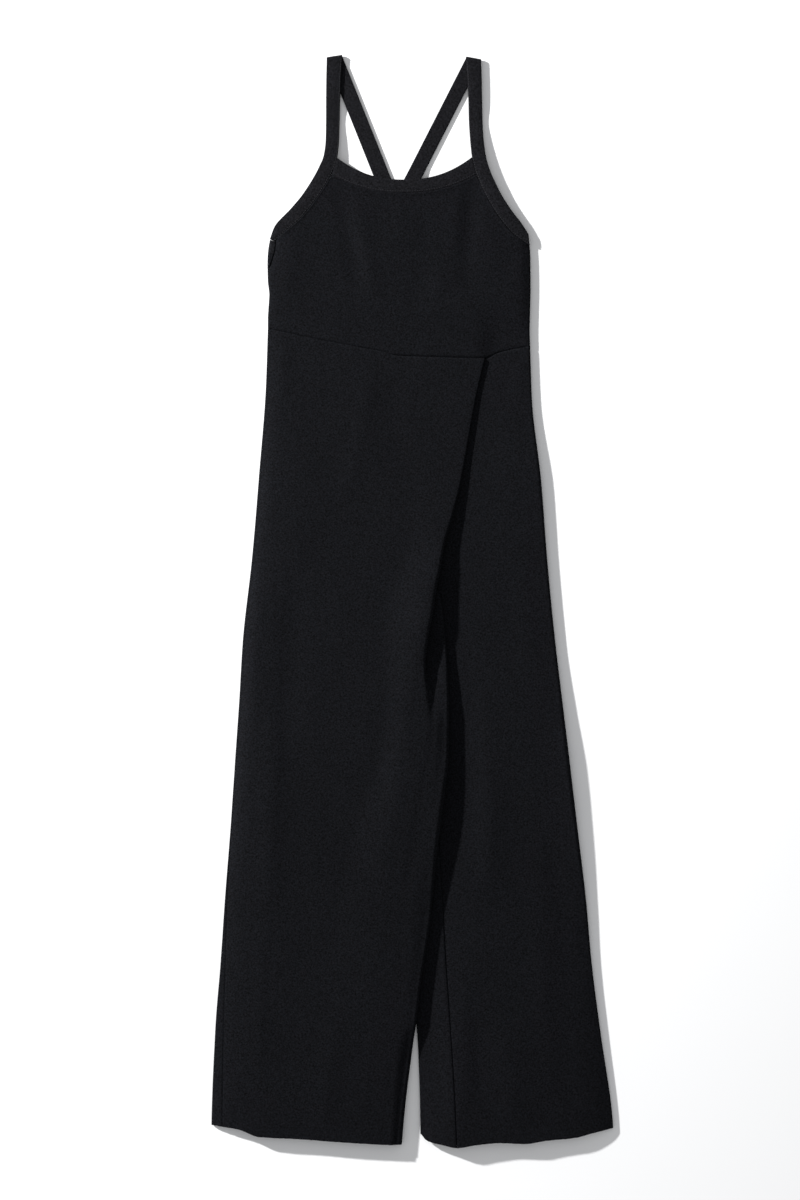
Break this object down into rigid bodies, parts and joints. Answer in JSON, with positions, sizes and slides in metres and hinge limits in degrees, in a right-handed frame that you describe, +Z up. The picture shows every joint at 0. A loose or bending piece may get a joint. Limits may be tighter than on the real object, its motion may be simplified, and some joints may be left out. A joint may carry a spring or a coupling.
{
  "type": "jumpsuit",
  "caption": "Wide-legged knit jumpsuit with thin crossed straps and a pleated front, laid flat on its back.",
  "frame": {"origin": "on the surface the garment lies on, under the middle of its outline", "axes": "+X to the right and +Y towards the straps as seen from above the front, +Z up off the surface"},
  "size_m": [0.5541, 1.5052, 0.0222],
  "materials": {
    "knit": "matte black fine double knit",
    "band": "matte black double knit, folded double"
  },
  "bodies": {
    "root": {"front_bodice": "knit", "back_bodice": "knit", "neck_band": "band", "back_band": "band", "left_armhole_band_and_strap": "band", "right_armhole_band_and_strap": "band", "left_leg_front": "knit", "left_leg_back": "knit", "right_leg_front": "knit", "right_leg_back": "knit"}
  },
  "joints": []
}
